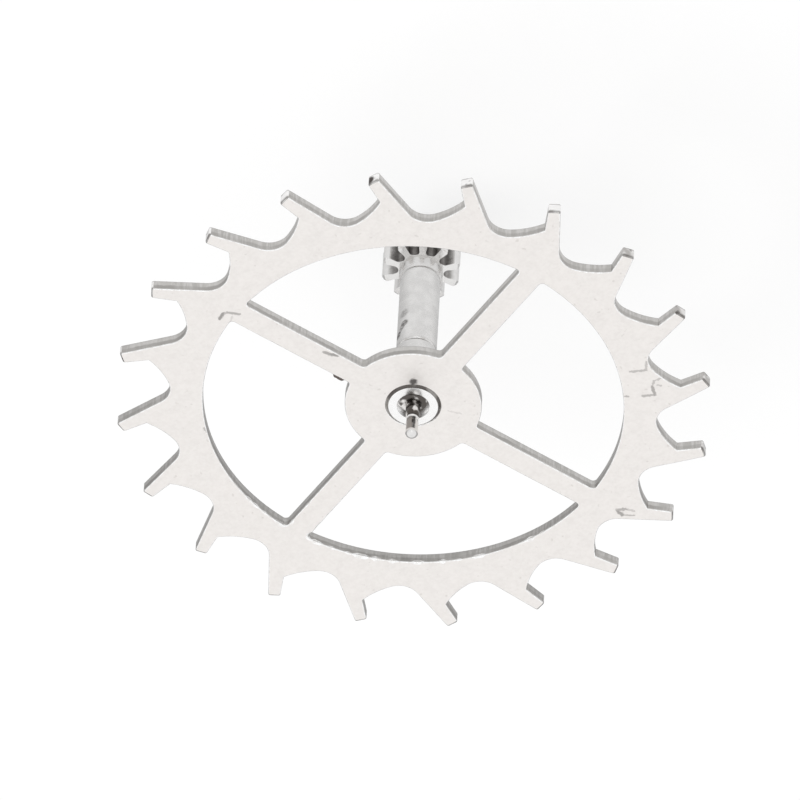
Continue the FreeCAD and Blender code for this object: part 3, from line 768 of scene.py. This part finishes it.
def near_stroke(tree, place, first, last, width):
    """1 on a straight scratch or smear between two points of the plate, 0 away from it."""
    start = (first[0], first[1], WHEEL_FRONT)
    run = (last[0] - first[0], last[1] - first[1], 0)
    share = 1 / (run[0] ** 2 + run[1] ** 2)
    from_start = vector(tree, "SUBTRACT", place, start)
    along = vector(tree, "DOT_PRODUCT", from_start, run)
    along = both(tree, "MULTIPLY", along, share)
    foot = scaled(tree, run, along)
    away = vector(tree, "DISTANCE", from_start, foot)
    return ramp(tree, away, width * 0.4, width, 1, 0)


def near_spot(tree, place, centre, radius):
    """1 on a spot, 0 away from it, with a soft edge."""
    away = vector(tree, "DISTANCE", place, centre)
    return ramp(tree, away, radius * 0.5, radius, 1, 0)


def steel(name, roughness):
    """A steel of typical roughness, ready for its finish; comes with its nodes and its shader."""
    material, tree = new_material(name)
    shader = add(tree, "ShaderNodeBsdfPrincipled", Metallic=1.0, Roughness=roughness)
    add(tree, "ShaderNodeOutputMaterial", Surface=shader.outputs[0])
    return material, tree, shader


def dress(tree, shader, base, roughness=None):
    """Joins a base colour, and a roughness where it varies, to a steel's shader."""
    tree.links.new(base, shader.inputs["Base Color"])
    if roughness is not None:
        tree.links.new(roughness, shader.inputs["Roughness"])


def roughen(tree, shader, heights, strength, depth):
    """Fine relief on a steel, with its depth in millimetres."""
    bump = add(tree, "ShaderNodeBump", Strength=strength, Distance=depth * MM, Height=heights)
    tree.links.new(bump.outputs[0], shader.inputs["Normal"])


def lapped_satin_steel():
    """Steel lapped flat on fine paper: a pale, even satin with faint clouding and a few old marks."""
    material, tree, shader = steel("lapped_satin_steel", 0.4)
    place = millimetres(tree)
    clouds = ramp(tree, grain(tree, place, 0.11, 3.0), 0.25, 0.75)
    speckle = ramp(tree, grain(tree, place, 0.03, 2.0), 0.25, 0.75)
    base = blend(tree, clouds, linear("#EBE7E4"), linear("#F1EDEA"))
    base = layer(tree, base, "#F8F5F2", speckle, 0.45)
    pits = ramp(tree, grain(tree, place, 0.05, 1.0), 0.69, 0.78)
    base = layer(tree, base, "#C9C4BF", pits, 0.35)
    wander = add(tree, "ShaderNodeTexNoise", _0=place, Scale=40.0, Detail=2.0).outputs["Color"]
    centred = vector(tree, "SUBTRACT", wander, (0.5, 0.5, 0.5))
    shift = scaled(tree, centred, 0.03)
    uneven = vector(tree, "ADD", place, shift)
    worn = None
    for first, last, width, depth in SCRATCHES:
        mark = both(tree, "MULTIPLY", near_stroke(tree, uneven, first, last, width), depth)
        worn = mark if worn is None else both(tree, "MAXIMUM", worn, mark)
    base = layer(tree, base, "#4A4643", worn)
    base = layer(tree, base, "#3E3937", near_spot(tree, uneven, *STAIN), 0.85)
    dress(tree, shader, base, ramp(tree, clouds, 0, 1, 0.38, 0.42))
    roughen(tree, shader, both(tree, "SUBTRACT", grain(tree, place, 0.025, 2.0), worn), 0.5, 0.0015)
    return material


def punched_steel_edge():
    """Where punch and cutter went through: darker, partly as painted shade for the dim floor the walls
    mirror, streaked through the plate, sheared in its upper zone.
    """
    material, tree, shader = steel("punched_steel_edge", 0.34)
    place = millimetres(tree)
    streaks = grain(tree, place, 0.022, 2.0, (1, 1, 0.12))
    patches = ramp(tree, grain(tree, place, 0.3, 2.0), 0.3, 0.7)
    height = height_of(tree, place)
    ragged = both(tree, "MULTIPLY", grain(tree, place, 0.06, 2.0), 0.03)
    level = both(tree, "ADD", height, ragged, False)
    sheared = ramp(tree, level, WHEEL_BACK + 0.062, WHEEL_BACK + 0.078)
    darkness = both(tree, "ADD", both(tree, "MULTIPLY", patches, 0.5), 0.15)
    back_corner = ramp(tree, height, WHEEL_BACK + 0.004, WHEEL_BACK + 0.016, 0.5, 0)
    # The walls' base is darker than the face's: partly a rougher cut, partly painted shade.
    base = blend(tree, patches, linear("#B5B3B0"), linear("#C6C4C1"))
    base = layer(tree, base, "#CFCDCB", ramp(tree, streaks, 0.4, 0.66))
    base = layer(tree, base, "#8F8C89", sheared, darkness)
    base = layer(tree, base, "#8C8A88", back_corner)
    dress(tree, shader, base, ramp(tree, streaks, 0.3, 0.7, 0.28, 0.4))
    roughen(tree, shader, streaks, 0.6, 0.002)
    return material


def burnished_burr():
    """The thin lip along the punched edges, rubbed bright by the lap: almost white, and uneven."""
    material, tree, shader = steel("burnished_burr_steel", 0.26)
    place = millimetres(tree)
    uneven = ramp(tree, grain(tree, place, 0.05, 2.0), 0.35, 0.6)
    dress(tree, shader, blend(tree, uneven, linear("#EFEDEB"), linear("#FFFFFF")))
    roughen(tree, shader, uneven, 0.5, 0.0015)
    return material


def polished_tooth_end():
    """Tooth ends polished for the pallet stones: mirror-like, with hairline marks, darker corners, painted
    shade on one side and painted dark reflections.
    """
    material, tree, shader = steel("polished_tooth_end_steel", 0.1)
    place = millimetres(tree)
    lines = grain(tree, place, 0.012, 1.0, (0.15, 0.15, 1))
    base = blend(tree, lines, linear("#E9E7E5"), linear("#FFFFFF"))
    # Painted shade: tooth ends on the side away from the left softbox are darkened.
    painted_side_shade = ramp(tree, vector(tree, "DOT_PRODUCT", place, PAINTED_SHADE_SIDE), 1.3, 1.8)
    cloudy = ramp(tree, grain(tree, place, 0.08, 1.0), 0.35, 0.6, 0.3, 0.8)
    base = layer(tree, base, "#A19D9A", painted_side_shade, cloudy)
    height = height_of(tree, place)
    front = ramp(tree, height, WHEEL_FRONT - 0.034, WHEEL_FRONT - 0.012)
    back = ramp(tree, height, WHEEL_BACK + 0.008, WHEEL_BACK + 0.022, 0.8, 0)
    patches = ramp(tree, grain(tree, place, 0.1, 1.0), 0.35, 0.6, 0.45, 0.8)
    base = layer(tree, base, "#7A7673", both(tree, "MAXIMUM", front, back), patches)
    # Painted reflections: dark patches on the polished ends and one dark spot on one tooth end.
    painted_dark_reflections = ramp(tree, grain(tree, place, 0.07, 1.0), 0.6, 0.68, 0, 0.6)
    base = layer(tree, base, "#4C4744", both(tree, "MAXIMUM", painted_dark_reflections, near_spot(tree, place, *TOOTH_DARK_REFLECTION)))
    dress(tree, shader, base, ramp(tree, lines, 0.3, 0.7, 0.08, 0.16))
    return material


def turned_rings(tree, shader, place, apart):
    """Fine rings left by turning and polishing between centres, so many millimetres apart."""
    rings = grain(tree, place, apart, 1.0, (0.08, 0.08, 1))
    roughen(tree, shader, rings, 0.35, 0.0006)
    return rings


def polished_arbor():
    """Hardened steel arbor polished between centres: smooth grey with fine rings, and specks of dried oil."""
    material, tree, shader = steel("polished_arbor_steel", 0.2)
    place = millimetres(tree)
    rings = turned_rings(tree, shader, place, 0.014)
    cloud = ramp(tree, grain(tree, place, 0.09, 3.0), 0.3, 0.7)
    base = blend(tree, cloud, linear("#D2D1D0"), linear("#DFDEDD"))
    base = layer(tree, base, "#E9E8E7", rings, 0.4)
    edge = grain(tree, place, 0.02, 2.0)
    for centre, radius, depth in SPECKS:
        broken = ramp(tree, edge, 0.35, 0.55, depth * 0.5, depth)
        base = layer(tree, base, "#3B3431", near_spot(tree, place, centre, radius), broken)
    dress(tree, shader, base, ramp(tree, rings, 0.3, 0.7, 0.2, 0.3))
    return material


def polished_leaf():
    """Leaves cut and polished: bright on their ends and tops, with painted shade in their roots below the
    ends.
    """
    material, tree, shader = steel("polished_leaf_steel", 0.16)
    place = millimetres(tree)
    radius = vector(tree, "LENGTH", out_from_axis(tree, place))
    mottle = grain(tree, place, 0.05, 2.0)
    reach = both(tree, "ADD", radius, both(tree, "MULTIPLY", mottle, 0.04), False)
    # Painted shade: the roots between the leaves darkened, below the leaves' ends.
    inner = ramp(tree, reach, LEAF_ROOT_RADIUS + 0.01, LEAF_PITCH_RADIUS + 0.035, 1, 0)
    below_end = ramp(tree, height_of(tree, place), LEAF_HEAD - 0.012, LEAF_HEAD - 0.002, 1, 0)
    base = blend(tree, mottle, linear("#DEDDDC"), linear("#F2F1F0"))
    base = layer(tree, base, "#4D4845", both(tree, "MULTIPLY", inner, below_end), 0.92)
    dress(tree, shader, base, ramp(tree, mottle, 0.3, 0.7, 0.12, 0.24))
    return material


def burnished_rivet():
    """The spigot's end, spread over the wheel by the riveting punch: very bright."""
    material, tree, shader = steel("burnished_rivet_steel", 0.22)
    place = millimetres(tree)
    uneven = grain(tree, place, 0.06, 2.0)
    base = blend(tree, uneven, linear("#F1F0EF"), linear("#FFFFFF"))
    dress(tree, shader, base, ramp(tree, uneven, 0.3, 0.7, 0.18, 0.3))
    return material


def turned_hollow():
    """The hollow turned round the pivot's root, darkened in patches with painted shade, with glints of bare
    steel between.
    """
    material, tree, shader = steel("hollow_painted_shade_steel", 0.12)
    place = millimetres(tree)
    # Painted shade: dark patches over the hollow, the neck and the pivot's foot.
    patches = ramp(tree, grain(tree, place, 0.075, 1.0), 0.5, 0.64)
    base = blend(tree, patches, linear("#5A5653"), linear("#E8E6E4"))
    dress(tree, shader, base, ramp(tree, patches, 0, 1, 0.1, 0.2))
    return material


def burnished_pivot():
    """The pivot, burnished mirror bright to run in a jewel, with a painted grey reflection band and a painted
    dark reflection stripe up one side.
    """
    material, tree, shader = steel("burnished_pivot_steel", 0.07)
    place = millimetres(tree)
    rings = turned_rings(tree, shader, place, 0.01)
    base = blend(tree, rings, linear("#D8D7D6"), linear("#ECEBEA"))
    outward = vector(tree, "NORMALIZE", out_from_axis(tree, place))
    wander = both(tree, "MULTIPLY", grain(tree, place, 0.03, 1.0), 0.08)
    height = height_of(tree, place)
    above = ramp(tree, height, SHOULDER_TOP + 0.03, SHOULDER_TOP + 0.04)
    below = ramp(tree, height, SHOULDER_TOP + 0.175, SHOULDER_TOP + 0.19, 1, 0)
    between = both(tree, "MULTIPLY", above, below)
    # Painted reflections: a grey band and a near-black stripe laid up one side of the pivot.
    for turn, reach, colour, depth in PIVOT_PAINTED_REFLECTIONS:
        middle = (cos(radians(turn)), sin(radians(turn)), 0)
        facing = both(tree, "SUBTRACT", vector(tree, "DOT_PRODUCT", outward, middle), wander, False)
        painted_reflection = both(tree, "MULTIPLY", ramp(tree, facing, reach - 0.1, reach - 0.02), depth)
        base = layer(tree, base, colour, painted_reflection, between)
    dress(tree, shader, base, ramp(tree, rings, 0.3, 0.7, 0.05, 0.12))
    return material


def dried_oil():
    """A crumb of old oil and dust: dull, brownish black."""
    material, tree = new_material("dried_oil_crumb")
    place = millimetres(tree)
    patches = grain(tree, place, 0.02, 2.0)
    base = blend(tree, patches, linear("#2C2523"), linear("#6A5F5A"))
    shader = add(tree, "ShaderNodeBsdfPrincipled", Base_Color=base, Roughness=0.6)
    add(tree, "ShaderNodeOutputMaterial", Surface=shader.outputs[0])
    return material


def groove_painted_shade():
    """A turned corner darkened by painted shade: brownish black, not quite even."""
    material, tree, shader = steel("groove_painted_shade_steel", 0.3)
    place = millimetres(tree)
    patches = ramp(tree, grain(tree, place, 0.13, 2.0), 0.38, 0.62)
    dress(tree, shader, blend(tree, patches, linear("#6E6A67"), linear("#A8A5A2")))
    return material


wheel = make_wheel([
    lapped_satin_steel(), punched_steel_edge(), polished_tooth_end(), burnished_burr(), dried_oil(),
])
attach(wheel, "root")
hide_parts("escape_wheel")

pinion = make_pinion([
    polished_arbor(), polished_leaf(), burnished_rivet(), turned_hollow(), burnished_pivot(), groove_painted_shade(),
])
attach(pinion, "root")
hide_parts("escape_pinion")


# Floor, light and camera

def seen_white(tree, shade, share_seen, share_mirrored, mirrored_strength):
    """Lays plain white over a shader where the camera sees it, and another white where metal mirrors it."""
    path = add(tree, "ShaderNodeLightPath")
    mirrored = both(tree, "MAXIMUM", path.outputs["Is Glossy Ray"], path.outputs["Is Transmission Ray"])
    seen = both(tree, "MULTIPLY", path.outputs["Is Camera Ray"], share_seen)
    amount = both(tree, "MAXIMUM", seen, both(tree, "MULTIPLY", mirrored, share_mirrored))
    mix = add(tree, "ShaderNodeMix", {"data_type": "FLOAT"}, _0=mirrored, _2=1.0, _3=mirrored_strength)
    white = add(tree, "ShaderNodeEmission", Color=WHITE, Strength=mix.outputs[0])
    return add(tree, "ShaderNodeMixShader", _0=amount, _1=shade, _2=white.outputs[0]).outputs[0]


def white_paper():
    """Paper whose mirror image in the steel falls off to one side and far out, as a graded sheet's does."""
    material, tree = new_material("white_paper")
    paper = add(tree, "ShaderNodeBsdfDiffuse", Color=linear("#F4F4F4"))
    place = millimetres(tree)
    bright_side = (cos(BRIGHT_SIDE), sin(BRIGHT_SIDE), 0)
    near = ramp(tree, vector(tree, "DOT_PRODUCT", place, bright_side), -2.2, 1.6, 0.5, 0.98)
    far_out = ramp(tree, vector(tree, "LENGTH", place), 5, 16, 1.0, 0.45)
    graded = both(tree, "MULTIPLY", near, far_out)
    shown = seen_white(tree, paper.outputs[0], FLOOR_WHITE, 0.8, graded)
    add(tree, "ShaderNodeOutputMaterial", Surface=shown)
    return material


def make_floor():
    bm = bmesh.new()
    bmesh.ops.create_grid(bm, x_segments=1, y_segments=1, size=FLOOR_HALF)
    floor = mesh_object(bm, "paper_floor", [white_paper()])
    floor.location.z = cad_low.z - FLOOR_DROP


def make_world():
    """A white tent, whose mirror image in the steel is darker low down."""
    world = bpy.data.worlds.new("white_tent")
    bpy.context.scene.world = world
    world.use_nodes = True
    tree = world.node_tree
    tree.nodes.clear()
    tent = add(tree, "ShaderNodeBackground", Color=WHITE, Strength=0.9)
    direction = add(tree, "ShaderNodeTexCoord").outputs["Generated"]
    higher = ramp(tree, height_of(tree, direction), 0.0, 0.45, 0.4, 1.0)
    shown = seen_white(tree, tent.outputs[0], 1.0, 1.0, higher)
    add(tree, "ShaderNodeOutputWorld", Surface=shown)


def aim(thing, target, roll=0.0):
    """Turns a lamp or camera to look at a point, then rolls it about that line."""
    look = (Vector(target) - thing.location).to_track_quat("-Z", "Y")
    thing.rotation_mode = "QUATERNION"
    thing.rotation_quaternion = look @ Matrix.Rotation(roll, 3, "Z").to_quaternion()


def from_direction(target, azimuth, elevation, distance):
    """A point that lies in a direction from another one."""
    flat = cos(elevation)
    return Vector(target) + distance * Vector((flat * cos(azimuth), flat * sin(azimuth), sin(elevation)))


def make_camera():
    camera = new_object("camera", bpy.data.cameras.new("camera"))
    camera.location = from_direction(CAMERA_TARGET, CAMERA_AZIMUTH, CAMERA_ELEVATION, CAMERA_DISTANCE)
    aim(camera, CAMERA_TARGET, -CAMERA_ROLL)
    camera.data.lens = CAMERA_LENS
    camera.data.sensor_width = CAMERA_SENSOR
    camera.data.clip_start, camera.data.clip_end = CAMERA_CLIP
    bpy.context.scene.camera = camera


def make_lamp(name, azimuth, elevation, distance, size, power, mirrored):
    """A round lamp, with its distance and size in millimetres, which metal mirrors or not."""
    lamp = new_object(name, bpy.data.lights.new(name, "AREA"))
    lamp.location = from_direction(CAMERA_TARGET, azimuth, elevation, distance * MM)
    aim(lamp, CAMERA_TARGET)
    lamp.data.shape = "DISK"
    lamp.data.size = size * MM
    lamp.data.energy = power
    lamp.visible_camera = False
    lamp.visible_glossy = mirrored


def make_lens_card():
    """The dark round of the photographer's lens, which the polished steel mirrors and no camera sees."""
    material, tree = new_material("black_flock")
    flock = add(tree, "ShaderNodeBsdfDiffuse", Color=linear("#0A0A0A"))
    add(tree, "ShaderNodeOutputMaterial", Surface=flock.outputs[0])
    bm = bmesh.new()
    bmesh.ops.create_circle(bm, cap_ends=True, segments=48, radius=CARD_RADIUS)
    card = mesh_object(bm, "lens_card", [material])
    card.location = from_direction(CAMERA_TARGET, CAMERA_AZIMUTH, CAMERA_ELEVATION, CARD_DISTANCE)
    aim(card, CAMERA_TARGET)
    card.visible_camera = False
    card.visible_diffuse = False
    card.visible_shadow = False


make_floor()
make_world()
make_camera()
make_lens_card()
make_lamp("softbox_left", radians(124), radians(50), distance=270, size=180, power=0.3, mirrored=False)
make_lamp("ring_light", CAMERA_AZIMUTH, CAMERA_ELEVATION, distance=210, size=90, power=0.009, mirrored=True)
bpy.context.scene.view_settings.view_transform = "Standard"
